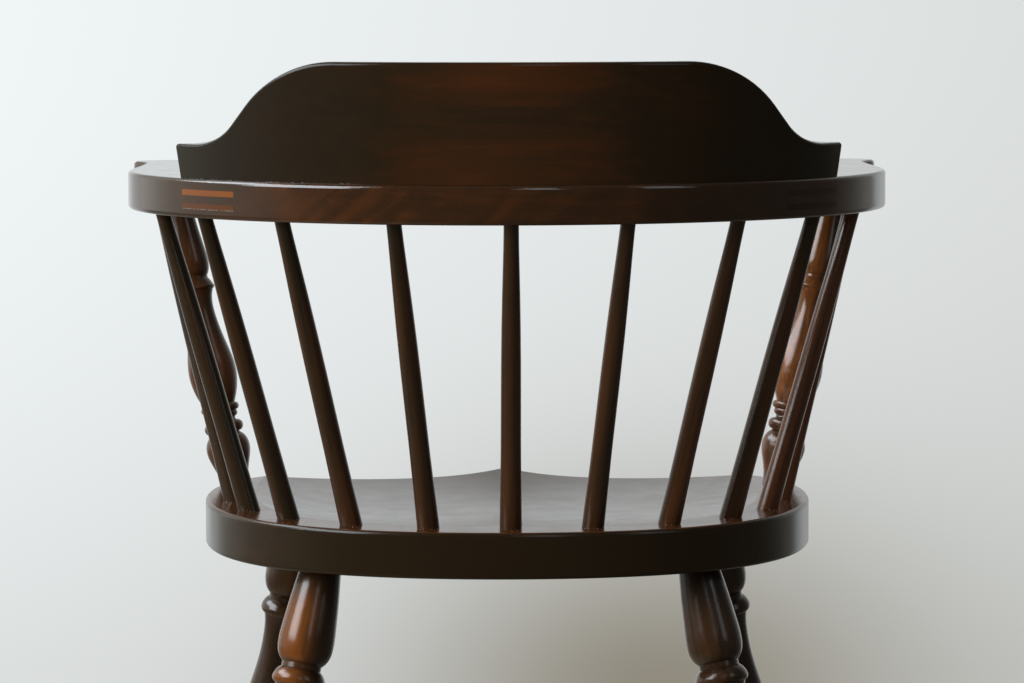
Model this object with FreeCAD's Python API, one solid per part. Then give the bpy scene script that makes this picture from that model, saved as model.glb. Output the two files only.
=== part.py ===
import FreeCAD, Part
import math
import os
from FreeCAD import Vector

# A low-backed captain's chair in turned and sawn hardwood, in millimetres.
# It faces -Y, +Z is up, and +X is the sitter's left. The origin is on the floor under its middle.
# A plan place is given as x and the distance forward of the arm bow's rear edge.

# seat board
seat_height = 425.0
seat_width = 492.0
seat_depth = 448.0
seat_thickness = 36.0
seat_widest_from_rear = 258.0
seat_rear_fullness = 0.645
seat_front_fullness = 0.72
seat_arris = 3.0
seat_setback = 60.0

# dished top of the seat, with a ridge between the thighs that runs out at the front
dish_depth = 12.5
dish_side_margin = 39.0
dish_rear_margin = 52.0
dish_deepest_from_rear = 310.0
dish_side_power = 3.5
dish_rear_power = 2.4
ridge_height = 9.5
ridge_reach = 38.0
ridge_softness = 5.0
ridge_length = 190.0
dish_past_rim = 20.0
dish_steps = 24

# sawn arm bow, made in three lengths that meet at butt joints
arm_height_over_seat = 267.3
arm_thickness = 30.0
arm_span = 610.0
bow_depth = 290.0
bow_width = 62.0
arm_width = 60.0
arm_length = 478.0
arm_arris = 3.3
neck_from_hand_end = 63.0
neck_width = 56.0
neck_outer_inset = 4.0
lobe_from_hand_end = 22.0
hand_width = 80.0
hand_flare_start = 0.5
hand_flare_end = 0.45
hand_side_fullness = 0.7
hand_end_fullness = 0.6

# butt joints of the bow, and the loose tongues let into its rear face across them
joint_half_spacing = 232.6
tongue_length = 63.0
tongue_depth = 24.0
tongue_thickness = 4.5
tongue_drops_from_arm_top = (8.0, 18.5)
tongue_clearance = 0.05

# crest rail on top of the bow
crest_height = 91.0
crest_half_length = 261.7
crest_end_height = 26.3
crest_end_lean = 0.295
crest_rear_inset = 3.5
crest_base_thickness = 29.0
crest_top_thickness = 20.0
crest_shoulder_radius = 85.0
crest_hollow_radius = 38.0
crest_hollow_from_end = 18.9
crest_slope_degrees = 53.4
crest_arris = 2.5

# dowels between the crest and the bow, midway between spindles
dowels_each_side = 3
dowel_radius = 5.0
dowel_in_arm = 6.0
dowel_in_crest = 18.0

# spindles, one in the middle and five on each side, by their distances along the seat and the arm
spindle_distances_on_seat = (0.0, 63.6, 127.1, 191.1, 256.5, 315.9)
spindle_distances_on_arm = (0.0, 89.3, 185.6, 275.1, 367.6, 451.4)
spindle_seat_inset_rear = 27.4
spindle_seat_inset_side = 22.1
spindle_arm_inset_rear = 25.0
spindle_arm_inset_side = 23.0
spindle_profile = ((0.0, 8.6), (0.12, 8.2), (0.25, 7.9), (0.5, 7.72), (0.8, 6.75), (1.0, 5.8))
spindle_seat_tenon_radius = 6.0
spindle_arm_tenon_radius = 4.5

# turned posts under the arms
post_from_seat_rear = 323.0
post_seat_inset = 14.0
post_arm_inset = 26.0
post_seat_tenon_radius = 8.5
post_arm_tenon_radius = 8.0

# post profile, from the seat up: runs of (distance, radius), drawn for a post of this length
post_drawn_length = 237.3
post_runs = (
    # bulb
    ((-8.0, 11.0), (0.0, 11.2), (8.0, 12.3), (18.0, 15.4), (29.0, 18.2), (37.0, 16.8), (42.4, 11.8)),
    ((42.4, 11.8), (43.0, 12.6)),
    # two beads with a hollow and a step between them
    ((43.0, 12.6), (47.6, 16.3), (52.2, 12.6)),
    ((52.2, 12.6), (53.9, 11.0), (55.6, 12.2)),
    ((55.6, 12.2), (57.9, 13.7), (60.2, 12.8)),
    ((60.2, 12.8), (63.3, 16.0), (66.4, 13.1)),
    # long baluster up to a sharp ring
    ((66.4, 13.1), (74.0, 16.4), (84.0, 19.1), (93.0, 19.9), (105.0, 18.7), (120.0, 15.4), (135.0, 12.8),
     (148.0, 12.0), (156.0, 13.2), (160.0, 14.8)),
    ((160.0, 14.8), (161.2, 16.0)),
    ((161.2, 16.0), (162.2, 16.4), (163.2, 16.0)),
    ((163.2, 16.0), (166.0, 14.6), (169.8, 12.3)),
    ((169.8, 12.3), (171.7, 12.3)),
    # vase under the arm
    ((171.7, 12.3), (175.5, 14.4), (182.0, 15.5), (190.0, 15.2), (204.0, 13.6), (220.0, 12.1), (237.3, 11.5),
     (246.0, 11.5)),
)

# turned legs, by their places on the seat's underside and their lean for each unit of height
rear_leg_half_spacing = 146.8
rear_leg_from_seat_rear = 85.0
rear_leg_splay_out = 0.205
rear_leg_splay_along = -0.19
front_leg_half_spacing = 173.0
front_leg_from_seat_rear = 350.0
front_leg_splay_out = 0.175
front_leg_splay_along = 0.13
leg_tenon_radius = 12.5

# leg profile, from the seat down; the upper runs rise towards the seat, more on the front legs
leg_drawn_length = 404.0
rear_leg_rise = 6.5
front_leg_rise = 21.0
leg_upper_runs = (
    # vase
    ((-12.0, 14.2), (6.0, 15.6), (31.0, 18.8), (52.0, 20.9), (68.5, 21.8), (77.5, 20.3), (83.5, 16.4)),
    ((83.5, 16.4), (84.4, 15.5)),
    ((84.4, 15.5), (88.2, 15.5)),
    # ring
    ((88.2, 15.5), (90.6, 18.1), (94.2, 20.1), (97.6, 20.8), (100.2, 19.9), (101.8, 17.6)),
    # long baluster
    ((101.8, 17.6), (107.5, 16.2), (120.0, 15.1), (136.0, 15.3), (154.0, 17.2), (172.0, 20.0), (186.0, 21.3),
     (197.0, 20.4), (206.0, 16.6), (209.0, 15.0)),
    ((209.0, 15.0), (212.5, 15.0)),
    # bead
    ((212.5, 15.0), (217.5, 19.4), (222.5, 15.4)),
)
leg_lower_runs = (
    # barrel at the stretchers' height
    ((232.0, 17.8), (246.0, 18.6), (260.0, 17.6), (270.0, 15.2)),
    ((270.0, 15.2), (273.0, 15.2)),
    # small bead
    ((273.0, 15.2), (276.5, 17.9), (280.0, 15.4)),
    # tapered foot
    ((280.0, 15.4), (296.0, 16.7), (312.0, 17.0), (345.0, 15.2), (380.0, 13.2), (412.0, 12.0), (430.0, 11.6)),
)

# stretchers run from leg to leg, and the cross stretcher from one side stretcher to the other
stretcher_height = 155.0
stretcher_tenon_radius = 7.5
stretcher_bare_length = 27.0
stretcher_bead_length = 8.0
side_stretcher_radius = 13.5
cross_stretcher_radius = 16.0

# stretcher profile: (share of the length, share of the greatest radius), and the bead's neck and top
stretcher_swell = ((0.17, 0.66), (0.25, 0.78), (0.32, 0.74), (0.36, 0.6))
stretcher_bulb = ((0.43, 0.88), (0.47, 1.0), (0.53, 1.0), (0.57, 0.88))
stretcher_bead_share = 0.86

# bored sockets, measured along the tenons glued in them
seat_socket_depth = 22.0
arm_socket_depth = 20.0
socket_radial_clearance = 0.05
socket_end_clearance = 1.0

# planes and places that follow from the sizes above
seat_underside = seat_height - seat_thickness
arm_top = seat_height + arm_height_over_seat
arm_underside = arm_top - arm_thickness
half_span = arm_span / 2
overall_depth = max(seat_setback + seat_depth, arm_length)
rear_y = overall_depth / 2
neck_forward = arm_length - neck_from_hand_end
ellipse_fullness = 0.5523
beyond = 60.0
root = 5.0
sides = (("left", 1), ("right", -1))


def placed(plan_point, z):
    x, forward = plan_point
    return Vector(x, rear_y - forward, z)


def mirrored(plan_point, side):
    return (side * plan_point[0], plan_point[1])


def smooth_edge(*poles):
    """A curved edge whose ends point along its first two and last two poles."""
    curve = Part.BezierCurve()
    curve.setPoles(list(poles))
    return curve.toShape()


def quarter(side, half_width, end, widest, fullness, z):
    """A quarter of an oval, from its end on the middle line to its widest place on one side."""
    places = [
        (0.0, end),
        (half_width * fullness, end),
        (half_width, widest + (end - widest) * fullness),
        (half_width, widest),
    ]
    return smooth_edge(*[placed(mirrored(point, side), z) for point in places])


def at_distance(edges, distance):
    """The point at a distance along edges that follow each other."""
    for edge in edges[:-1]:
        if distance <= edge.Length:
            return edge.valueAt(edge.getParameterByLength(distance))
        distance -= edge.Length
    return edges[-1].valueAt(edges[-1].getParameterByLength(distance))


def flat_edges(solid):
    return [edge for edge in solid.Edges if edge.BoundBox.ZLength < 0.01]


def eased(solid, radius, edges):
    return solid.makeFillet(radius, edges).Solids[0]


def upright(edges, height):
    """A solid as high as given, over a closed plan outline."""
    return Part.Face(Part.Wire(edges)).extrude(Vector(0, 0, height))


def rod(start, end, radius):
    return Part.makeCylinder(radius, start.distanceToPoint(end), start, end - start)


def block_beyond(point, way):
    """Everything past a plane, as a block larger than the chair."""
    size = 2 * (overall_depth + arm_span)
    block = Part.makeBox(size, size, size, Vector(-size / 2, -size / 2, 0))
    block.Placement = FreeCAD.Placement(point, FreeCAD.Rotation(Vector(0, 0, 1), way))
    return block


def above(height):
    return block_beyond(Vector(0, 0, height), Vector(0, 0, 1))


def below(height):
    return block_beyond(Vector(0, 0, height), Vector(0, 0, -1))


def turned(start, end, runs, scale=1.0):
    """A profile turned about the line from start towards end.

    A run is a list of (distance from start, radius), and starts where the run before it ends.
    Two points make a line, three an arc, and more a smooth curve.
    """
    edges = []
    for run in runs:
        points = [Vector(radius, 0, distance * scale) for distance, radius in run]
        if len(points) == 2:
            edges.append(Part.makeLine(*points))
        elif len(points) == 3:
            edges.append(Part.Arc(*points).toShape())
        else:
            curve = Part.BSplineCurve()
            curve.interpolate(Points=points)
            edges.append(curve.toShape())
    first = Vector(runs[0][0][1], 0, runs[0][0][0] * scale)
    last = Vector(runs[-1][-1][1], 0, runs[-1][-1][0] * scale)
    edges.append(Part.makeLine(last, Vector(0, 0, last.z)))
    edges.append(Part.makeLine(Vector(0, 0, last.z), Vector(0, 0, first.z)))
    edges.append(Part.makeLine(Vector(0, 0, first.z), first))
    body = Part.Face(Part.Wire(edges)).revolve(Vector(0, 0, 0), Vector(0, 0, 1), 360)
    body.Placement = FreeCAD.Placement(start, FreeCAD.Rotation(Vector(0, 0, 1), end - start))
    return body


def tenon(shoulder, inward, depth, radius):
    """A tenon from a shoulder into its socket, with its root inside its own piece."""
    return rod(shoulder - inward * root, shoulder + inward * depth, radius)


def socket(shoulder, inward, depth, radius):
    """The hole that a tenon of this depth and radius is glued in."""
    end = shoulder + inward * (depth + socket_end_clearance)
    return rod(shoulder - inward * root, end, radius + socket_radial_clearance)


# the arm bow

def bow_edges(inset, z):
    """The bow's rear edge, moved in by an inset: its right quarter and its left quarter."""
    half = half_span - inset
    return [quarter(side, half, inset, bow_depth, ellipse_fullness, z) for name, side in reversed(sides)]


def arm_side_edge(side, start, end):
    """An edge between two plan points of an arm, straight forward at both ends."""
    third = (end[1] - start[1]) / 3
    places = [start, (start[0], start[1] + third), (end[0], end[1] - third), end]
    return smooth_edge(*[placed(mirrored(point, side), arm_underside) for point in places])


def hand_edges(side):
    """The scrolled end of an arm: on each of its sides a neck that flares to a lobe, then the end."""
    middle = half_span - neck_outer_inset - neck_width / 2
    lobe_forward = arm_length - lobe_from_hand_end
    flare = lobe_forward - neck_forward
    neck = neck_width / 2
    lobe = hand_width / 2
    neck_to_lobe = [
        (neck, neck_forward),
        (neck, neck_forward + flare * hand_flare_start),
        (lobe, lobe_forward - flare * hand_flare_end),
        (lobe, lobe_forward),
    ]
    lobe_to_end = [
        (lobe, lobe_forward),
        (lobe, lobe_forward + lobe_from_hand_end * hand_side_fullness),
        (lobe * hand_end_fullness, arm_length),
        (0.0, arm_length),
    ]
    edges = []
    for way in (1, -1):
        for places in (neck_to_lobe, lobe_to_end):
            points = [(middle + way * reach, forward) for reach, forward in places]
            edges.append(smooth_edge(*[placed(mirrored(p, side), arm_underside) for p in points]))
    return edges


def whole_arm():
    """The arm bow before it is parted at its joints, with its arrises eased."""
    inner_half = half_span - arm_width
    neck_outer = half_span - neck_outer_inset
    edges = bow_edges(0.0, arm_underside)
    for name, side in sides:
        edges.append(quarter(side, inner_half, bow_width, bow_depth, ellipse_fullness, arm_underside))
        edges.append(arm_side_edge(side, (half_span, bow_depth), (neck_outer, neck_forward)))
        edges.append(arm_side_edge(side, (inner_half, bow_depth), (neck_outer - neck_width, neck_forward)))
        edges += hand_edges(side)
    solid = upright(Part.__sortEdges__(edges), arm_thickness)
    return eased(solid, arm_arris, flat_edges(solid))


def bow_frame(x, side):
    """A place on the bow's rear edge, with the ways along it and into the wood."""
    share = math.sqrt(1 - (x / half_span) ** 2)
    here = (side * x, bow_depth * (1 - share))
    inward = Vector(-side * x / half_span ** 2, -share / bow_depth, 0).normalize()
    along = Vector(-inward.y * side, inward.x * side, 0)
    if along.x * side < 0:
        along = along * -1
    return placed(here, arm_underside), along, inward


def tongue_block(side, drop, clearance, end_clearance):
    """A tongue, or with clearances its slot, as a block through the bow's rear face."""
    point, along, inward = bow_frame(joint_half_spacing, side)
    length = tongue_length + 2 * clearance
    depth = tongue_depth + end_clearance + beyond
    thickness = tongue_thickness + 2 * clearance
    block = Part.makeBox(length, depth, thickness, Vector(-length / 2, -beyond, -thickness / 2))
    middle = Vector(point.x, point.y, arm_top - drop - tongue_thickness / 2)
    block.Placement = FreeCAD.Placement(middle, FreeCAD.Rotation(along, inward, Vector(0, 0, 1), "XYZ"))
    return block


def beyond_joint(side):
    point, along, inward = bow_frame(joint_half_spacing, side)
    return block_beyond(point, along)


# places of the round pieces

def seat_quarter(side, inset, end, fullness, z):
    """A quarter of the seat's outline, moved in by an inset, to its rear or its front end."""
    half = seat_width / 2 - inset
    return quarter(side, half, end, seat_setback + seat_widest_from_rear, fullness, z)


def seat_line(side):
    """The line of the spindles on the seat, from the middle to the widest place, then forward to the post."""
    rear = seat_setback + spindle_seat_inset_rear
    half = seat_width / 2 - spindle_seat_inset_side
    widest = seat_setback + seat_widest_from_rear
    forward_end = (half, seat_setback + post_from_seat_rear)
    curve = seat_quarter(side, spindle_seat_inset_side, rear, seat_rear_fullness, seat_height)
    straight = Part.makeLine(placed(mirrored((half, widest), side), seat_height),
                             placed(mirrored(forward_end, side), seat_height))
    return [curve, straight]


def post_arm_point():
    return (half_span - neck_outer_inset - post_arm_inset, neck_forward)


def post_seat_point():
    """The post's foot, set in from the seat's edge at its distance from the seat's rear."""
    forward = seat_setback + post_from_seat_rear
    edge = seat_quarter(1, 0.0, seat_setback + seat_depth, seat_front_fullness, seat_height)
    across = Part.makeLine(placed((0.0, forward), seat_height), placed((seat_width, forward), seat_height))
    crossing = edge.distToShape(across)[1][0][0]
    return (crossing.x - post_seat_inset, forward)


def arm_line(side):
    """The line of the spindles under the arm, from the middle to the widest place, then to the post."""
    half = half_span - spindle_arm_inset_side
    curve = quarter(side, half, spindle_arm_inset_rear, bow_depth, ellipse_fullness, arm_underside)
    straight = Part.makeLine(placed(mirrored((half, bow_depth), side), arm_underside),
                             placed(mirrored(post_arm_point(), side), arm_underside))
    return [curve, straight]


def spindle_ends(number, side):
    """The middle of a spindle on the seat's top and on the arm's underside."""
    foot = at_distance(seat_line(side), spindle_distances_on_seat[number])
    head = at_distance(arm_line(side), spindle_distances_on_arm[number])
    return foot, head


def post_ends(side):
    foot = placed(mirrored(post_seat_point(), side), seat_height)
    head = placed(mirrored(post_arm_point(), side), arm_underside)
    return foot, head


def leg_ends(end, side):
    """The middle of a leg on the seat's underside and on the floor."""
    half, from_rear, out, along = {
        "rear": (rear_leg_half_spacing, rear_leg_from_seat_rear,
                 rear_leg_splay_out, rear_leg_splay_along),
        "front": (front_leg_half_spacing, front_leg_from_seat_rear,
                  front_leg_splay_out, front_leg_splay_along),
    }[end]
    head = (half, seat_setback + from_rear)
    foot = (half + out * seat_underside, seat_setback + from_rear + along * seat_underside)
    return placed(mirrored(head, side), seat_underside), placed(mirrored(foot, side), 0.0)


def stretcher_ends(side):
    """Where a side stretcher meets the axes of the rear leg and the front leg."""
    ends = []
    for end in ("rear", "front"):
        head, foot = leg_ends(end, side)
        ends.append(head + (foot - head) * ((seat_underside - stretcher_height) / seat_underside))
    return ends


def cross_stretcher_ends():
    ends = []
    for name, side in sides:
        rear, front = stretcher_ends(side)
        ends.append((rear + front) * 0.5)
    return ends


def unit(start, end):
    return (end - start).normalize()


# round pieces

def spindle(foot, head):
    way = unit(foot, head)
    length = foot.distanceToPoint(head)
    profile = [(length * share, radius) for share, radius in spindle_profile]
    profile.insert(0, (-root, profile[0][1]))
    profile.append((length + root, profile[-1][1]))
    body = turned(foot, head, [profile]).cut([below(seat_height), above(arm_underside)])
    low = tenon(foot, way * -1, seat_socket_depth, spindle_seat_tenon_radius)
    high = tenon(head, way, arm_socket_depth, spindle_arm_tenon_radius)
    return body.fuse([low, high]).removeSplitter()


def post(foot, head):
    """An arm post: a bulb, two beads, a long baluster, a sharp ring and a vase, from the seat up."""
    way = unit(foot, head)
    scale = foot.distanceToPoint(head) / post_drawn_length
    body = turned(foot, head, post_runs, scale).cut([below(seat_height), above(arm_underside)])
    low = tenon(foot, way * -1, seat_socket_depth, post_seat_tenon_radius)
    high = tenon(head, way, arm_socket_depth, post_arm_tenon_radius)
    return body.fuse([low, high]).removeSplitter()


def leg(head, foot, rise):
    """A leg, from the seat down: a vase, a ring, a long baluster, a bead, a barrel and a tapered foot."""
    way = unit(head, foot)
    upper = [[(distance - rise, radius) for distance, radius in run] for run in leg_upper_runs]
    lower = [list(run) for run in leg_lower_runs]
    lower[0].insert(0, upper[-1][-1])
    scale = head.distanceToPoint(foot) / leg_drawn_length
    body = turned(head, foot, upper + lower, scale).cut([above(seat_underside), below(0.0)])
    return body.fuse(tenon(head, way * -1, seat_socket_depth, leg_tenon_radius)).removeSplitter()


def stretcher(start, end, swell):
    """A stretcher with a bare round end in each socket, a slow swell, and a bulb between two rings."""
    length = start.distanceToPoint(end)
    swelling = [(length * share, swell * of_swell) for share, of_swell in stretcher_swell]
    neck_start, neck = swelling[-1]
    bead_top = (neck_start + stretcher_bead_length / 2, swell * stretcher_bead_share)
    bead_end = (neck_start + stretcher_bead_length, neck)
    bare = [(0.0, stretcher_tenon_radius), (stretcher_bare_length, stretcher_tenon_radius)]
    half = [bare, bare[1:] + swelling, [swelling[-1], bead_top, bead_end]]
    other = [[(length - distance, radius) for distance, radius in reversed(run)] for run in reversed(half)]
    bulb = [(length * share, swell * of_swell) for share, of_swell in stretcher_bulb]
    return turned(start, end, half + [[bead_end] + bulb + [other[0][0]]] + other)


def stretcher_socket(start, end):
    """The hole in a leg or a side stretcher, from past its axis out along the stretcher."""
    way = unit(start, end)
    return socket(start + way * (stretcher_bare_length - root), way * -1,
                  stretcher_bare_length - root, stretcher_tenon_radius)


# seat board

def dish_height(x, from_rear):
    """The height of the seat's hollowed surface; above the rim's height there is no hollow."""
    half = seat_width / 2 - dish_side_margin
    rear_reach = dish_deepest_from_rear - dish_rear_margin
    across = (abs(x) / half) ** dish_side_power
    along = (abs(from_rear - dish_deepest_from_rear) / rear_reach) ** dish_rear_power
    share = min(1.0, max(0.0, 1 - (seat_depth - from_rear) / ridge_length))
    away = math.hypot(x, ridge_softness) - ridge_softness
    ridge = ridge_height * share ** 2 * math.exp(-away / ridge_reach)
    return seat_height - dish_depth * (1 - across - along) + ridge


def dish_tool():
    """What is carved from the seat's top: all that lies over the hollowed surface."""
    half = seat_width / 2 + dish_past_rim
    length = seat_depth + 2 * dish_past_rim
    rows = []
    for i in range(2 * dish_steps + 1):
        x = half * (i / dish_steps - 1)
        row = []
        for j in range(dish_steps + 1):
            from_rear = length * j / dish_steps - dish_past_rim
            row.append(placed((x, seat_setback + from_rear), dish_height(x, from_rear)))
        rows.append(row)
    surface = Part.BSplineSurface()
    surface.interpolate(rows)
    return surface.toShape().extrude(Vector(0, 0, beyond))


def rim_edges(board):
    """The edges round the seat's upright sides, above and below."""
    walls = [face for face in board.Faces if isinstance(face.Surface, Part.SurfaceOfExtrusion)]
    return [edge for wall in walls for edge in wall.Edges if edge.BoundBox.ZLength < seat_thickness / 2]


def seat():
    outline = []
    for name, side in sides:
        front = seat_setback + seat_depth
        outline.append(seat_quarter(side, 0.0, seat_setback, seat_rear_fullness, seat_underside))
        outline.append(seat_quarter(side, 0.0, front, seat_front_fullness, seat_underside))
    board = upright(Part.__sortEdges__(outline), seat_thickness)
    board = board.cut(dish_tool()).Solids[0]
    board = eased(board, seat_arris, rim_edges(board))
    sockets = []
    for foot, head in spindle_places().values():
        sockets.append(socket(foot, unit(head, foot), seat_socket_depth, spindle_seat_tenon_radius))
    for name, side in sides:
        foot, head = post_ends(side)
        sockets.append(socket(foot, unit(head, foot), seat_socket_depth, post_seat_tenon_radius))
        for end in ("rear", "front"):
            head, foot = leg_ends(end, side)
            sockets.append(socket(head, unit(foot, head), seat_socket_depth, leg_tenon_radius))
    return board.cut(sockets)


# crest rail

def crest_plan(thickness, z):
    """A closed plan outline at one height, from the crest's rear face to its front face."""
    rear = bow_edges(crest_rear_inset, z)
    front = bow_edges(crest_rear_inset + thickness, z)
    edges = list(rear + front)
    outer = half_span - crest_rear_inset
    for name, side in sides:
        places = [(outer, bow_depth), (outer - thickness, bow_depth)]
        edges.append(Part.makeLine(*[placed(mirrored(point, side), z) for point in places]))
    return Part.Wire(Part.__sortEdges__(edges))


def crest_outline():
    """The crest seen from behind, as a slab: level top, round shoulders, a slope and hollowed ends."""
    slope = math.radians(crest_slope_degrees)
    far = half_span + beyond
    hollow_x = crest_half_length - crest_hollow_from_end
    hollow_z = crest_end_height + crest_hollow_radius
    low = (hollow_x - crest_hollow_radius * math.sin(slope), hollow_z - crest_hollow_radius * math.cos(slope))
    drop = crest_shoulder_radius * (1 - math.cos(slope))
    run = (crest_height - drop - low[1]) / math.tan(slope)
    shoulder_x = low[0] - crest_shoulder_radius * math.sin(slope) - run
    high = (shoulder_x + crest_shoulder_radius * math.sin(slope), crest_height - drop)
    half_turn = slope / 2
    hollow_middle = (hollow_x - crest_hollow_radius * math.sin(half_turn),
                     hollow_z - crest_hollow_radius * math.cos(half_turn))
    shoulder_middle = (shoulder_x + crest_shoulder_radius * math.sin(half_turn),
                       crest_height - crest_shoulder_radius * (1 - math.cos(half_turn)))

    def at(point, side):
        return Vector(side * point[0], rear_y + beyond, arm_top + point[1])

    edges = []
    for name, side in sides:
        edges.append(Part.makeLine(at((far, -beyond), side), at((far, crest_end_height), side)))
        edges.append(Part.makeLine(at((far, crest_end_height), side), at((hollow_x, crest_end_height), side)))
        hollow_foot = at((hollow_x, crest_end_height), side)
        edges.append(Part.Arc(hollow_foot, at(hollow_middle, side), at(low, side)).toShape())
        edges.append(Part.makeLine(at(low, side), at(high, side)))
        shoulder_top = at((shoulder_x, crest_height), side)
        edges.append(Part.Arc(at(high, side), at(shoulder_middle, side), shoulder_top).toShape())
    edges.append(Part.makeLine(at((shoulder_x, crest_height), 1), at((shoulder_x, crest_height), -1)))
    edges.append(Part.makeLine(at((far, -beyond), 1), at((far, -beyond), -1)))
    wire = Part.Wire(Part.__sortEdges__(edges))
    return Part.Face(wire).extrude(Vector(0, -overall_depth, 0))


def crest():
    base = crest_plan(crest_base_thickness, arm_top)
    top = crest_plan(crest_top_thickness, arm_top + crest_height)
    rail = Part.makeLoft([base, top], True, True).common(crest_outline())
    ends = []
    for name, side in sides:
        point, along, inward = bow_frame(crest_half_length, side)
        point.z = arm_top + crest_end_height
        ends.append(block_beyond(point, Vector(along.x, along.y, -crest_end_lean)))
    rail = rail.cut(ends)
    rail = eased(rail, crest_arris, [edge for edge in rail.Edges if edge.BoundBox.ZMax > arm_top + 1.0])
    holes = []
    for low, high in dowel_places():
        end = high + Vector(0, 0, socket_end_clearance)
        holes.append(rod(low, end, dowel_radius + socket_radial_clearance))
    return rail.cut(holes)


def dowel_places():
    """The ends of each dowel between the bow and the crest."""
    inset = crest_rear_inset + crest_base_thickness / 2
    places = []
    for name, side in sides:
        line = [quarter(side, half_span - inset, inset, bow_depth, ellipse_fullness, arm_top)]
        for gap in range(dowels_each_side):
            near, far = spindle_distances_on_arm[gap:gap + 2]
            middle = at_distance(line, (near + far) / 2)
            places.append((middle - Vector(0, 0, dowel_in_arm), middle + Vector(0, 0, dowel_in_crest)))
    return places


def spindle_places():
    """Each spindle's name, with the ends of its body."""
    places = {"spindle_centre": spindle_ends(0, 1)}
    for name, side in sides:
        for number in range(1, len(spindle_distances_on_seat)):
            places[f"spindle_{name}_{number}"] = spindle_ends(number, side)
    return places


def arm_lengths():
    """The bow's three lengths and its tongues, which are glued up before the bow is bored."""
    whole = whole_arm()
    bores = []
    for foot, head in spindle_places().values():
        bores.append(socket(head, unit(foot, head), arm_socket_depth, spindle_arm_tenon_radius))
    for name, side in sides:
        foot, head = post_ends(side)
        bores.append(socket(head, unit(foot, head), arm_socket_depth, post_arm_tenon_radius))
    for low, high in dowel_places():
        end = low - Vector(0, 0, socket_end_clearance)
        bores.append(rod(end, high, dowel_radius + socket_radial_clearance))
    slots = []
    pieces = {}
    for name, side in sides:
        for row, drop in zip(("upper", "lower"), tongue_drops_from_arm_top):
            slots.append(tongue_block(side, drop, tongue_clearance, socket_end_clearance))
            tongue = whole.common(tongue_block(side, drop, 0.0, 0.0))
            pieces[f"tongue_{name}_{row}"] = tongue.cut(bores)
    bored = whole.cut(bores + slots)
    pieces["arm_back"] = bored.cut([beyond_joint(1), beyond_joint(-1)])
    for name, side in sides:
        pieces["arm_" + name] = bored.common(beyond_joint(side))
    return pieces


def legs_and_stretchers():
    pieces = {}
    cross = cross_stretcher_ends()
    pieces["stretcher_cross"] = stretcher(cross[0], cross[1], cross_stretcher_radius)
    for name, side in sides:
        rear, front = stretcher_ends(side)
        middle = cross[0] if side == 1 else cross[1]
        other = cross[1] if side == 1 else cross[0]
        bar = stretcher(rear, front, side_stretcher_radius)
        pieces["stretcher_" + name] = bar.cut(stretcher_socket(middle, other))
        rises = {"rear": rear_leg_rise, "front": front_leg_rise}
        for end, near, far in (("rear", rear, front), ("front", front, rear)):
            head, foot = leg_ends(end, side)
            whole = leg(head, foot, rises[end])
            pieces[f"leg_{end}_{name}"] = whole.cut(stretcher_socket(near, far))
    return pieces


def all_pieces():
    pieces = {"seat": seat(), "crest": crest()}
    pieces.update(arm_lengths())
    for name, (foot, head) in spindle_places().items():
        pieces[name] = spindle(foot, head)
    for name, side in sides:
        pieces["post_" + name] = post(*post_ends(side))
    pieces["crest_dowels"] = Part.makeCompound([rod(low, high, dowel_radius) for low, high in dowel_places()])
    pieces.update(legs_and_stretchers())
    return pieces


os.makedirs("parts", exist_ok=True)
for node, shape in all_pieces().items():
    shape.exportStep(f"parts/{node}.step")
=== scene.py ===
import math

import bpy
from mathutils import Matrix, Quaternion, Vector


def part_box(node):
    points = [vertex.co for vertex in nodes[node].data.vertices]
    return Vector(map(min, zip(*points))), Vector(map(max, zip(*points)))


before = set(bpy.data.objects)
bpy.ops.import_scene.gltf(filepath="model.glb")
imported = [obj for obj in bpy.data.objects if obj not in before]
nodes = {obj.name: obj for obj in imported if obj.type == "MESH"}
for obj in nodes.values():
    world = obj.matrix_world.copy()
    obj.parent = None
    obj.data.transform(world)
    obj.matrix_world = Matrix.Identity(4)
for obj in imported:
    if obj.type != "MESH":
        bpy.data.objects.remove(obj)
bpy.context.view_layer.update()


# Seat: one thick board with its grain from front to back, sawn round and dished on top with a low
# ridge between the thighs. It is walnut brown, darker on its edge where the grain ends, under a
# glossy lacquer. The legs, spindles and arm posts are socketed into it.

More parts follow.
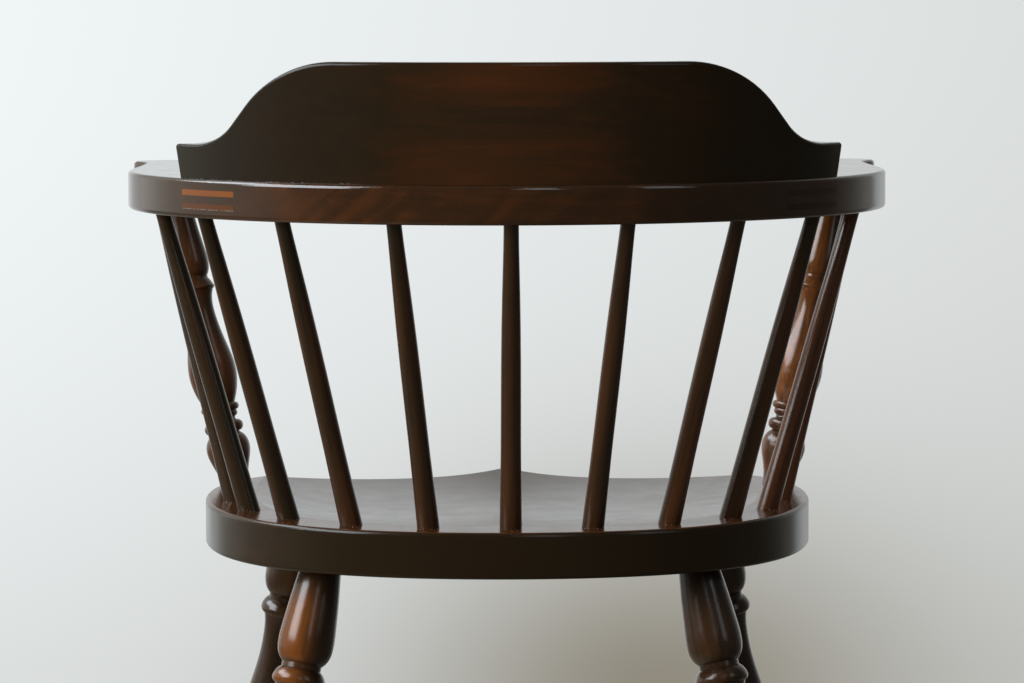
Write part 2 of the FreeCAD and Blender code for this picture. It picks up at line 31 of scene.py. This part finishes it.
class Flow:
    """One socket of a material's nodes. Sums and products of flows add the Math nodes they need."""

    def __init__(self, tree, socket=None):
        self.tree = tree
        self.socket = socket

    def node(self, kind, settings, sockets, out=0):
        """Add a node: its settings first, then the values or links of its sockets.

        Sockets go by name, or by number where two share one. The result is the output called out.
        """
        made = self.tree.nodes.new("ShaderNode" + kind)
        for name, value in settings.items():
            if name == "stops":
                bands = made.color_ramp.elements
                while len(bands) < len(value):
                    bands.new(1.0)
                for band, (position, level) in zip(bands, value):
                    band.position = position
                    band.color = (level, level, level, 1)
            else:
                setattr(made, name, value)
        for name, value in sockets.items():
            socket = made.inputs[name]
            if isinstance(value, Flow):
                self.tree.links.new(value.socket, socket)
            elif socket.type == "RGBA":
                socket.default_value = (*value[:3], 1)
            else:
                socket.default_value = value
        return Flow(self.tree, made.outputs[out] if made.outputs else None)

    def maths(self, operation, *values):
        return self.node("Math", {"operation": operation}, dict(enumerate(values)))

    def __add__(self, other):
        return self.maths("ADD", self, other)

    def __sub__(self, other):
        return self.maths("SUBTRACT", self, other)

    def __rsub__(self, other):
        return self.maths("SUBTRACT", other, self)

    def __mul__(self, other):
        return self.maths("MULTIPLY", self, other)

    def __truediv__(self, other):
        return self.maths("DIVIDE", self, other)

    def __pow__(self, other):
        return self.maths("POWER", self, other)

    __radd__ = __add__
    __rmul__ = __mul__

    def ramp(self, low, high):
        """0 below low, 1 above high, and smooth between them."""
        return self.node("MapRange", {"interpolation_type": "SMOOTHSTEP"},
                         {"Value": self, "From Min": low, "From Max": high})

    def between(self, low, high, soft):
        """1 from low to high, fading out over soft on both sides."""
        return self.ramp(low - soft, low) * (1 - self.ramp(high, high + soft))

    def clamped(self):
        return self.node("Clamp", {}, {"Value": self})

    def squared(self):
        return self * self

    def axis(self, name):
        return self.node("SeparateXYZ", {}, {"Vector": self}, name)

    def shifted(self, x, y, z):
        return self.node("VectorMath", {"operation": "ADD"}, {0: self, 1: (x, y, z)})

    def stretched(self, x, y, z):
        return self.node("VectorMath", {"operation": "MULTIPLY"}, {0: self, 1: (x, y, z)})

    def noise(self, scale, detail=2.0, roughness=0.5, distortion=0.0):
        return self.node("TexNoise", {}, {"Vector": self, "Scale": scale, "Detail": detail,
                                          "Roughness": roughness, "Distortion": distortion})

    def mix(self, share, first, second):
        """The first colour, turning into the second as share goes to 1."""
        factor, colour_a, colour_b, mixed = 0, 6, 7, 2
        colours = {factor: share, colour_a: first, colour_b: second}
        return self.node("Mix", {"data_type": "RGBA"}, colours, mixed)


class Wood:
    """A new wood material with its grain.

    world is a point on the chair, place the same point with Z running along the grain from start, and
    stock that place in the timber, another one for each seed. end_grain is 1 where the grain ends.
    """

    def __init__(self, name, start, along, seed):
        self.material = bpy.data.materials.new(name)
        self.material.use_nodes = True
        self.material.node_tree.nodes.clear()
        self.blank = Flow(self.material.node_tree)
        self.world = self.blank.node("TexCoord", {}, {}, "Object")
        turn = Vector(along).to_track_quat("Z", "Y").to_euler()
        self.place = self.blank.node("Mapping", {"vector_type": "TEXTURE"}, {
            "Vector": self.world, "Location": tuple(start), "Rotation": tuple(turn)})
        self.stock = self.place.shifted(seed * 0.37, seed * 0.61, seed * 0.83)
        self.facing = self.blank.node("NewGeometry", {}, {}, "Normal")
        sockets = {0: self.facing, 1: tuple(Vector(along).normalized())}
        end_on = self.blank.node("VectorMath", {"operation": "DOT_PRODUCT"}, sockets, "Value")
        self.end_grain = self.blank.maths("ABSOLUTE", end_on) ** 2

    def lacquered(self, colour, height, roughness, index=1.5):
        """The clear glossy lacquer over the stained wood, with the wood's own height under it."""
        bumped = self.blank.node("Bump", {}, {"Strength": 1.0, "Distance": 1.0, "Height": height})
        skin = self.blank.node("BsdfPrincipled", {}, {
            "Base Color": colour, "Roughness": roughness, "IOR": index, "Normal": bumped})
        self.blank.node("OutputMaterial", {}, {"Surface": skin})
        return self.material


def finish(node, material):
    nodes[node].data.materials.clear()
    nodes[node].data.materials.append(material)


def stained(tone, share):
    """A tone with only a share of its light left."""
    return [level * share for level in tone]


# Pale glue in the joints, painted as glints of light.
glue_glint = (0.62, 0.60, 0.56)


def board_wood(name, along, tones, seed, glow=None, specks=None, shade=None, gloss=0.14, index=1.5,
               thirst=0.45):
    """Stained board wood in three tones, dark, middle and warm, drawn out along its grain.

    glow(wood) is a mask of warm places, specks(wood) one of pale glue painted as glints, and
    shade(wood) one of places to darken. gloss is the lacquer's lowest roughness, thirst how far end
    grain darkens, and index the lacquer's refractive index, about 1.5 in real lacquer. A piece with
    other values of these three has them fitted to its haze and its ends in the photograph, unmeasured.
    """
    dark, middle, warm = tones
    wood = Wood(name, (0, 0, 0), along, seed)
    broad = wood.stock.stretched(1, 1, 0.10).noise(20, 1.5, 0.5)
    streaks = wood.stock.stretched(1, 1, 0.03).noise(150, 2, 0.55)
    fibres = wood.stock.stretched(1, 1, 0.02).noise(1100, 2, 0.6)
    pores = wood.stock.stretched(1, 1, 0.06).noise(2300, 1, 0.5).ramp(0.62, 0.74)
    face = 1 - wood.end_grain * 0.85
    share = (broad * 0.5 + streaks * 0.35 + fibres * 0.15 - 0.5) * face * 2.2 + 0.5
    colour = wood.blank.mix(share.ramp(0.0, 1.0), dark, middle)
    warmth = broad.ramp(0.48, 0.74) * 0.25 + streaks.ramp(0.46, 0.74) * 0.15
    if glow is not None:
        warmth = warmth + glow(wood)
    colour = wood.blank.mix((warmth * face).ramp(0.0, 1.0), colour, warm)
    colour = wood.blank.mix((wood.end_grain * thirst).clamped(), colour, stained(dark, 0.8))
    colour = wood.blank.mix(pores * face * 0.4, colour, stained(dark, 0.4))
    if shade is not None:
        colour = wood.blank.mix(shade(wood), colour, stained(dark, 0.5))
    if specks is not None:
        colour = wood.blank.mix(specks(wood), colour, glue_glint)
    sanding_waves = wood.world.noise(14, 1, 0.5) * 0.00016
    height = sanding_waves + fibres * 0.000002 - pores * 0.000002
    rubbed = wood.world.noise(45, 3, 0.6).ramp(0.3, 0.75)
    roughness = rubbed * 0.035 + fibres * 0.015 + gloss
    return wood.lacquered(colour, height, roughness, index)


seat_top = 0.425
seat_underside = 0.389


def top_glow(wood):
    """Redder wood on top, most of all on the flat rim round the dish, as the photograph shows it."""
    upward = wood.facing.axis("Z").ramp(0.5, 0.9)
    rim = wood.world.axis("Z").ramp(seat_top - 0.0025, seat_top - 0.0005)
    rubbed = wood.world.noise(38, 2, 0.6).ramp(0.35, 0.7)
    return upward * (rim * (rubbed * 0.4 + 0.35) + 0.25)


seat_tones = ((0.0160, 0.0110, 0.0052), (0.0255, 0.0130, 0.0055), (0.0900, 0.0320, 0.0110))
finish("seat", board_wood("seat_wood", (0, 1, 0), seat_tones, 1, top_glow, gloss=0.17, index=1.34))


# Legs: four, turned and raked, with a round tenon glued up into the seat. They are orange-brown on
# the round places and dark in the hollows and grooves, with painted shade at their tops. The rear
# left one has paler tones and a more orange side towards the lamp, which are painted light.

def ends(node):
    """The middles of a long node's two ends, the low one first.

    An end may be cut level, as a foot is, or square to the piece, as a tenon is. Each end is looked for
    both ways, and the cut that holds more of the mesh's points is the right one.
    """
    cut_depth = 0.0008
    places = [vertex.co for vertex in nodes[node].data.vertices]
    low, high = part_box(node)
    size = high - low
    along = Vector([float(length == max(size)) for length in size])
    cuts = [[], []]
    for _ in range(2):
        heights = [place.dot(along) for place in places]
        for end, level in enumerate((min(heights), max(heights))):
            cut = [place for place, height in zip(places, heights) if abs(height - level) < cut_depth]
            if len(cut) > len(cuts[end]):
                cuts[end] = cut
        low, high = [sum(cut, Vector()) / len(cut) for cut in cuts]
        along = (high - low).normalized()
    return low, high


def turned_wood(node, tones, seed, thin, thick, wiping_and_light=0.9, specks=None, shade=None, painted_lit_side=None):
    """Wood of a lathe-turned piece, warm where its radius is near thick and dark where it is near thin.

    wiping_and_light is how strongly the warm tone shows, with painted light and shade on some pieces.
    specks(wood) is a mask of pale glue painted as glints, and shade(wood) one of places to darken.
    painted_lit_side is the way that a painted lit side faces, the only side where the warm tone shows.
    """
    dark, middle, warm = tones
    low, high = ends(node)
    wood = Wood(node + "_wood", low, high - low, seed)
    x = wood.place.axis("X")
    y = wood.place.axis("Y")
    radius = (x * x + y * y) ** 0.5
    broad = wood.stock.stretched(1, 1, 0.1).noise(60, 2, 0.55, 0.4)
    streaks = wood.stock.stretched(1, 1, 0.03).noise(300, 3, 0.6, 0.2)
    fibres = wood.stock.stretched(1, 1, 0.02).noise(1500, 2, 0.6)
    share = (broad * 0.55 + streaks * 0.35 + fibres * 0.1).ramp(0.30, 0.66)
    colour = wood.blank.mix(share, dark, middle)
    wiped_and_lit = radius.ramp(thin, thick) * (broad.ramp(0.3, 0.7) * 0.5 + streaks.ramp(0.35, 0.65) * 0.3 + 0.15)
    # Painted light: the warm tone shows only on the side that faces the lamp.
    if painted_lit_side is not None:
        side = (high - low).to_track_quat("Z", "Y").inverted() @ Vector(painted_lit_side)
        wiped_and_lit = wiped_and_lit * ((x * side.x + y * side.y) / radius).ramp(0.0, 0.9)
    if shade is not None:
        wiped_and_lit = wiped_and_lit * (1 - shade(wood))
        colour = wood.blank.mix(shade(wood) * 0.7, colour, stained(dark, 0.6))
    colour = wood.blank.mix(wiped_and_lit * wiping_and_light, colour, warm)
    if specks is not None:
        colour = wood.blank.mix(specks(wood), colour, glue_glint)
    height = wood.world.noise(20, 1, 0.5) * 0.00012 + fibres * 0.000004
    rubbed = wood.world.noise(45, 3, 0.6).ramp(0.3, 0.75)
    roughness = rubbed * 0.04 + fibres * 0.03 + 0.19
    finish(node, wood.lacquered(colour, height, roughness))


def painted_seat_shade(wood):
    """Painted shade on the top of a leg close under the seat, fitted in place of the seat's shadow."""
    return wood.world.axis("Z").ramp(seat_underside - 0.039, seat_underside - 0.005) * 0.9


leg_tones = ((0.0130, 0.0076, 0.0040), (0.0320, 0.0150, 0.0066), (0.0620, 0.0280, 0.0115))
# Painted light: paler tones for the rear left leg, nearest the lamp, warm only on its lamp side.
lit_leg_tones = ((0.0160, 0.0088, 0.0040), (0.0420, 0.0190, 0.0080), (0.1500, 0.0470, 0.0080))
turned_wood("leg_rear_left", lit_leg_tones, 10, 0.0140, 0.0200, 1.35, shade=painted_seat_shade,
            painted_lit_side=(0.8, 0.6, 0))
turned_wood("leg_rear_right", leg_tones, 11, 0.0150, 0.0215, 0.5, shade=painted_seat_shade)
for seed, node in enumerate(("leg_front_left", "leg_front_right")):
    turned_wood(node, leg_tones, 12 + seed, 0.0150, 0.0240, 0.4, shade=painted_seat_shade)


# Stretchers: two side ones from leg to leg and one across between them, turned like the legs and
# glued into blind holes. They and their tones are a guess: the photograph ends above them.

for seed, node in enumerate(("stretcher_left", "stretcher_right", "stretcher_cross")):
    turned_wood(node, leg_tones, 20 + seed, 0.0080, 0.0150)


# Spindles: eleven plain turned rods, swelled at the seat and thinner at the bow, glued into blind
# holes at both ends. Pale specks of dried glue at their feet are painted as glints. Tones are fitted
# stick by stick: the two at the far left carry painted shade, the two at the far right painted light.
# Tones are fitted stick by stick: darker at the far left and redder at the far right may be the
# photograph's light.

def foot_glue_glints(wood):
    """Tiny pale glue specks painted as glints, in the corner between a spindle's foot and the seat."""
    low = 1 - wood.world.axis("Z").ramp(seat_top + 0.0004, seat_top + 0.0010)
    return low * wood.world.noise(700, 2, 0.6).ramp(0.60, 0.68) * 0.5


spindle_tones = ((0.0125, 0.0100, 0.0052), (0.0290, 0.0145, 0.0060), (0.0800, 0.0265, 0.0080))
# Painted light: the redder tones of the two sticks furthest right.
lit_spindle_tones = ((0.0240, 0.0120, 0.0055), (0.0560, 0.0210, 0.0080), (0.1500, 0.0430, 0.0110))
# Painted shade: no warm tone on left_4 and left_5, the two sticks furthest left.
spindle_wiping_and_shade = {"centre": 0.7, "left_1": 0.8, "left_2": 0.9, "left_3": 0.4, "left_4": 0.0, "left_5": 0.0,
                  "right_1": 0.6, "right_2": 1.0, "right_3": 0.8, "right_4": 1.0, "right_5": 1.0}
for seed, (name, wiping_and_light) in enumerate(spindle_wiping_and_shade.items()):
    tones = lit_spindle_tones if name in ("right_4", "right_5") else spindle_tones
    turned_wood("spindle_" + name, tones, 30 + seed, 0.0045, 0.0100, wiping_and_light, foot_glue_glints)


# Arm posts: two turned uprights with beads, a baluster and a ring, which carry the arms' front
# ends. They are socketed into the seat below and the arms above. The right one has fitted orange
# tones on its side towards the lamp, which are painted light.

def post_foot(wood):
    """The right post's lowest beads, darkened to match the photograph."""
    return (1 - wood.world.axis("Z").ramp(seat_top + 0.055, seat_top + 0.080)) * 0.7


post_tones = ((0.0150, 0.0085, 0.0045), (0.0480, 0.0200, 0.0085), (0.1500, 0.0480, 0.0120))
# Painted light: orange tones for the right post, warm only on its side towards the lamp.
lit_post_tones = ((0.0220, 0.0110, 0.0050), (0.0600, 0.0230, 0.0085), (0.3100, 0.0980, 0.0180))
turned_wood("post_left", post_tones, 50, 0.0120, 0.0190, 0.55)
turned_wood("post_right", lit_post_tones, 51, 0.0080, 0.0150, 1.5, shade=post_foot,
            painted_lit_side=(0.9, 0.4, 0))


# Arm bow: three sawn lengths butted together over the side spindles, then shaped and eased as
# one. The back length shows soft bands that lean across its left half and a redder middle, both
# taken for the wood's figure.

def back_figure(wood):
    """Soft leaning bands on the back length's left half, a redder middle, and painted light at its left end.
    """
    x = wood.world.axis("X")
    y = wood.world.axis("Y")
    z = wood.world.axis("Z")
    lean = math.radians(40)
    across = x * math.sin(lean) + z * math.cos(lean)
    along = (z * math.sin(lean) - x * math.cos(lean)) * 0.14
    leaning = wood.blank.node("CombineXYZ", {}, {"X": across, "Y": y * 0.3, "Z": along})
    bands = leaning.noise(75, 1.5, 0.5, 0.6)
    left_half = x.between(0.095, 0.165, 0.035)
    middle = x.between(-0.08, 0.03, 0.05)
    # Painted light: the redder left end of the back length, nearest the lamp.
    left_end = x.between(0.185, 0.26, 0.03)
    figure = bands.ramp(0.34, 0.70) * (left_half * 0.46 + middle * 0.20)
    return figure + middle * 0.10 + left_end * 0.22


bow_tones = ((0.0215, 0.0112, 0.0048), (0.0380, 0.0150, 0.0052), (0.0950, 0.0280, 0.0064))
finish("arm_back", board_wood("arm_back_wood", (1, 0, 0), bow_tones, 3, back_figure, gloss=0.08, index=1.58))
for turn, name in ((1, "left"), (-1, "right")):
    arm_way = (turn * 0.11, -1, 0)
    finish("arm_" + name, board_wood(f"arm_{name}_wood", arm_way, bow_tones, 4 + turn, gloss=0.08))


# Tongues: thin loose tongues glued into saw cuts across the bow's two joints and trimmed flush.
# The left ones are paler, and the right ones hardly show.

tongue_tones = {
    "left_upper": ((0.170, 0.052, 0.012), (0.290, 0.092, 0.021), (0.370, 0.120, 0.028)),
    "left_lower": ((0.080, 0.028, 0.010), (0.130, 0.041, 0.014), (0.175, 0.056, 0.018)),
    "right_upper": ((0.022, 0.011, 0.005), (0.050, 0.019, 0.008), (0.090, 0.028, 0.009)),
    "right_lower": ((0.020, 0.010, 0.005), (0.042, 0.017, 0.007), (0.080, 0.026, 0.009)),
}


def saw_cut_glue_glints(wood):
    """A thin broken pale line of glue along a tongue's lower edge, painted as a glint."""
    lower_edge = 0.66940
    low = 1 - wood.world.axis("Z").ramp(lower_edge, lower_edge + 0.00035)
    return low * wood.world.noise(260, 2, 0.5).ramp(0.38, 0.52) * 0.38


for seed, (name, tones) in enumerate(tongue_tones.items()):
    turn = 1 if name.startswith("left") else -1
    glue = saw_cut_glue_glints if name == "left_lower" else None
    tongue_way = (turn * 0.8, 0.6, 0)
    tongue_wood = board_wood(f"tongue_{name}_wood", tongue_way, tones, 60 + seed, specks=glue, index=1.38)
    finish("tongue_" + name, tongue_wood)


# Crest: a rail sawn to the bow's curve and thinned towards its top, doweled and glued on the bow.
# Pale specks of glue along its foot are painted as glints. The dowels and their bare birch are a guess.

def crest_glow(wood):
    """A redder patch about the rail's middle, flecked along the grain."""
    x = wood.world.axis("X")
    flecks = wood.stock.stretched(1, 1, 0.07).noise(30, 1, 0.5).ramp(0.3, 0.7)
    return x.between(-0.05, 0.07, 0.07) * (flecks * 0.3 + 0.2)


def crest_glue_glints(wood):
    """Tiny pale glue specks painted as glints, along the crest's foot near its left end."""
    crest_foot = 0.6925
    low = 1 - wood.world.axis("Z").ramp(crest_foot, crest_foot + 0.0005)
    left_end = wood.world.axis("X").between(0.13, 0.235, 0.02)
    return low * left_end * wood.world.noise(520, 2, 0.6).ramp(0.56, 0.66) * 0.30


def painted_crest_shade(wood):
    """Painted shade over the crest's left half, fitted to offset too strong a lamp on that side."""
    return wood.world.axis("X").ramp(0.01, 0.10) * 0.32


crest_tones = ((0.0180, 0.0126, 0.0066), (0.0335, 0.0162, 0.0066), (0.0700, 0.0205, 0.0054))
crest_wood = board_wood("crest_wood", (1, 0, 0), crest_tones, 7, crest_glow, crest_glue_glints, painted_crest_shade,
                        index=1.28, thirst=2.0)
finish("crest", crest_wood)
birch_tones = ((0.40, 0.28, 0.16), (0.50, 0.36, 0.22), (0.55, 0.42, 0.28))
finish("crest_dowels", board_wood("dowel_wood", (0, 0, 1), birch_tones, 8))


# Floor: a plain pale round sheet that the chair stands on. It keeps the chair's shadow and fades
# out before its edge, so that it runs into the pale wall. It neither throws light back on the
# chair nor shows in the lacquer.

floor_radius = 1.9
floor_sides = 96
floor_mesh = bpy.data.meshes.new("floor")
floor_rim = []
for step in range(floor_sides):
    turn = math.tau * step / floor_sides
    floor_rim.append((floor_radius * math.cos(turn), floor_radius * math.sin(turn), 0))
floor_mesh.from_pydata(floor_rim, [], [list(range(floor_sides))])
floor = bpy.data.objects.new("floor", floor_mesh)
bpy.context.scene.collection.objects.link(floor)
floor.visible_diffuse = False
floor.visible_glossy = False
floor_paint = bpy.data.materials.new("floor_paint")
floor_paint.use_nodes = True
floor_paint.node_tree.nodes.clear()
blank = Flow(floor_paint.node_tree)
spot = blank.node("TexCoord", {}, {}, "Object")
reach = blank.node("VectorMath", {"operation": "LENGTH"}, {0: spot}, "Value")
matt = blank.node("BsdfDiffuse", {}, {"Color": (0.62, 0.62, 0.61)})
clear = blank.node("BsdfTransparent", {}, {})
sheet = blank.node("MixShader", {}, {0: reach.ramp(0.8, floor_radius * 0.97), 1: matt, 2: clear})
blank.node("OutputMaterial", {}, {"Surface": sheet})
floor.data.materials.append(floor_paint)


# Room: the camera and the lacquer both see a pale plastered wall, lighter at the upper left, with a
# soft shadow painted low on it. Light from the room is brightest from the wall and the chair's left.

room = bpy.data.worlds.new("room")
room.use_nodes = True
room.node_tree.nodes.clear()
bpy.context.scene.world = room
blank = Flow(room.node_tree)
way = blank.node("TexCoord", {}, {}, "Generated")
sideways = way.axis("X")
backwards = way.axis("Y")
upwards = way.axis("Z")
dim_side = (0.19, 0.19, 0.175)
bright_side = (0.42, 0.42, 0.41)
wall_side = (0.70, 0.74, 0.76)
floor_side = (0.20, 0.185, 0.165)
lit = blank.mix(sideways.ramp(-0.7, 0.7), dim_side, bright_side)
lit = blank.mix((backwards * -1).ramp(-0.2, 0.6), lit, wall_side)
lit = blank.mix(upwards.ramp(0.15, 0.9) * 0.8, lit, bright_side)
lit = blank.mix((upwards * -1).ramp(0.02, 0.3) * 0.85, lit, floor_side)
in_view = (backwards * -1).ramp(0.90, 0.97)
rightwards = (0.104 - sideways) / 0.235
downwards = (upwards / -0.157).clamped()
dimming = (rightwards * 0.5 + downwards.squared() * 0.5).clamped() * in_view + (1 - in_view) * 0.3
bright_plaster = (0.875, 0.915, 0.925)
dim_plaster = (0.555, 0.565, 0.545)
ceiling_shade = (0.35, 0.335, 0.30)
wall_shadow = (0.215, 0.185, 0.130)
wall = blank.mix(dimming, bright_plaster, dim_plaster)
wall = blank.mix(upwards.ramp(0.10, 0.24) * 0.4, wall, ceiling_shade)
beside = ((sideways + 0.047) / 0.062).squared()
above = ((upwards + 0.166) / 0.046).squared()
from_middle = beside + above
painted_shadow = blank.maths("EXPONENT", from_middle * -1) * in_view * 0.85
wall = blank.mix(painted_shadow, wall, wall_shadow)
camera_ray = blank.node("LightPath", {}, {}, "Is Camera Ray")
glossy_ray = blank.node("LightPath", {}, {}, "Is Glossy Ray")
clear_ray = blank.node("LightPath", {}, {}, "Is Transmission Ray")
shows_wall = blank.maths("MAXIMUM", blank.maths("MAXIMUM", camera_ray, glossy_ray), clear_ray)
glow = blank.node("Background", {}, {"Color": blank.mix(shows_wall, lit, wall), "Strength": 1.0})
blank.node("OutputWorld", {}, {"Surface": glow})


# Dark tent: cloth hung behind and above the camera and open towards the pale wall, with two bright
# panes on the chair's left and two slits, all placed to give the photograph's highlights. Only
# reflections show it.

tent_radius = 6.0
tent_middle = (0, 0, 0.55)
tent_mesh = bpy.data.meshes.new("dark_tent")
columns = 48
rows = 24
tent_places = []
tent_faces = []
for row in range(rows + 1):
    rise = math.radians(-89 + 178 * row / rows)
    for column in range(columns):
        turn = math.tau * column / columns
        tent_places.append((tent_radius * math.cos(rise) * math.sin(turn),
                            tent_radius * math.cos(rise) * math.cos(turn),
                            tent_radius * math.sin(rise)))
for row in range(rows):
    for column in range(columns):
        next_column = (column + 1) % columns
        tent_faces.append((row * columns + column, row * columns + next_column,
                           (row + 1) * columns + next_column, (row + 1) * columns + column))
tent_mesh.from_pydata(tent_places, [], tent_faces)
tent = bpy.data.objects.new("dark_tent", tent_mesh)
tent.location = tent_middle
bpy.context.scene.collection.objects.link(tent)
tent.visible_camera = False
tent.visible_diffuse = False
tent.visible_shadow = False
tent_cloth = bpy.data.materials.new("tent_cloth")
tent_cloth.use_nodes = True
tent_cloth.node_tree.nodes.clear()
tent_cloth.cycles.emission_sampling = "NONE"
blank = Flow(tent_cloth.node_tree)
spot = blank.node("TexCoord", {}, {}, "Object")
east = spot.axis("X")
north = spot.axis("Y")
rise = blank.maths("ARCSINE", spot.axis("Z") / tent_radius) * math.degrees(1)
bearing = blank.maths("ARCTAN2", east, north) * math.degrees(1)
cloth_levels = ((-180, 0.50), (-132, 0.42), (-120, 0.22), (-108, 0.09), (-60, 0.050), (0, 0.045), (50, 0.070),
                (63, 0.20), (73, 0.42), (84, 0.60), (100, 0.76), (116, 0.80), (130, 1.0), (180, 0.80))
stops = [((angle + 180) / 360, level) for angle, level in cloth_levels]
cloth = blank.node("ValToRGB", {"stops": stops}, {"Fac": (bearing + 180) / 360})
cloth = blank.mix(rise.ramp(42, 62), cloth, (0.12, 0.12, 0.12))
cloth = blank.mix((rise * -1).ramp(1, 13) * 0.75, cloth, (0.08, 0.072, 0.062))
pale_ground = (rise * -1).ramp(22, 48) * bearing.between(40, 150, 25)
cloth = blank.mix(pale_ground * 0.8, cloth, (0.34, 0.32, 0.27))
cloth = cloth.stretched(0.985, 1.0, 0.93)
left_pane = bearing.between(52, 78, 9) * rise.between(16, 47, 6) * 9.0
near_pane = bearing.between(86, 120, 8) * rise.between(28, 47, 4) * 8.0
slits = (bearing.between(-13, -6, 3) + bearing.between(-52, -42, 4) * 0.8) * rise.between(14, 42, 5) * 1.6
sky = (0.86, 0.94, 1.0)
openings = blank.node("VectorMath", {"operation": "SCALE"}, {0: sky, "Scale": left_pane + near_pane + slits})
cloth = blank.node("VectorMath", {"operation": "ADD"}, {0: cloth, 1: openings})
light = blank.node("Emission", {}, {"Color": cloth, "Strength": 1.0})
open_side = blank.maths("ABSOLUTE", bearing).ramp(138, 146) * rise.between(-12, 46, 8)
clear = blank.node("BsdfTransparent", {}, {})
cover = blank.node("MixShader", {}, {0: open_side, 1: light, 2: clear})
blank.node("OutputMaterial", {}, {"Surface": cover})
tent.data.materials.append(tent_cloth)


# Daylight: one soft lamp on the chair's left and towards its back, about a metre up, where the
# photograph's light seems to come from. It stays out of reflections, which show the tent's panes.

lamp_bearing = math.radians(55)
lamp_rise = math.radians(11)
lamp_distance = 3.0
seat_middle = Vector((0, 0, 0.5))
daylight_data = bpy.data.lights.new("daylight", "AREA")
daylight_data.shape = "RECTANGLE"
daylight_data.size = 1.6
daylight_data.size_y = 1.3
daylight_data.energy = 84
daylight_data.color = (1.0, 0.985, 0.96)
daylight = bpy.data.objects.new("daylight", daylight_data)
towards = Vector((math.cos(lamp_rise) * math.sin(lamp_bearing),
                  math.cos(lamp_rise) * math.cos(lamp_bearing),
                  math.sin(lamp_rise)))
daylight.location = seat_middle + towards * lamp_distance
daylight.rotation_euler = (-towards).to_track_quat("-Z", "Y").to_euler()
daylight.visible_camera = False
daylight.visible_glossy = False
bpy.context.scene.collection.objects.link(daylight)


# Camera: behind the chair and a little above its back, looking down by under five degrees
# through a long lens.

camera_place = (0.0425, 3.4656, 0.8441)
heading = 0.01325
pitch = math.radians(4.767)
roll = math.radians(-0.10)
camera_data = bpy.data.cameras.new("camera")
camera_data.lens = 152.4
camera_data.sensor_width = 36
camera_data.clip_end = 100
camera = bpy.data.objects.new("camera", camera_data)
camera.location = camera_place
level = Vector((-math.sin(heading), -math.cos(heading), 0))
look = level * math.cos(pitch) - Vector((0, 0, math.sin(pitch)))
camera.rotation_euler = (look.to_track_quat("-Z", "Y") @ Quaternion((0, 0, 1), roll)).to_euler()
bpy.context.scene.collection.objects.link(camera)
bpy.context.scene.camera = camera
bpy.context.scene.view_settings.view_transform = "Standard"
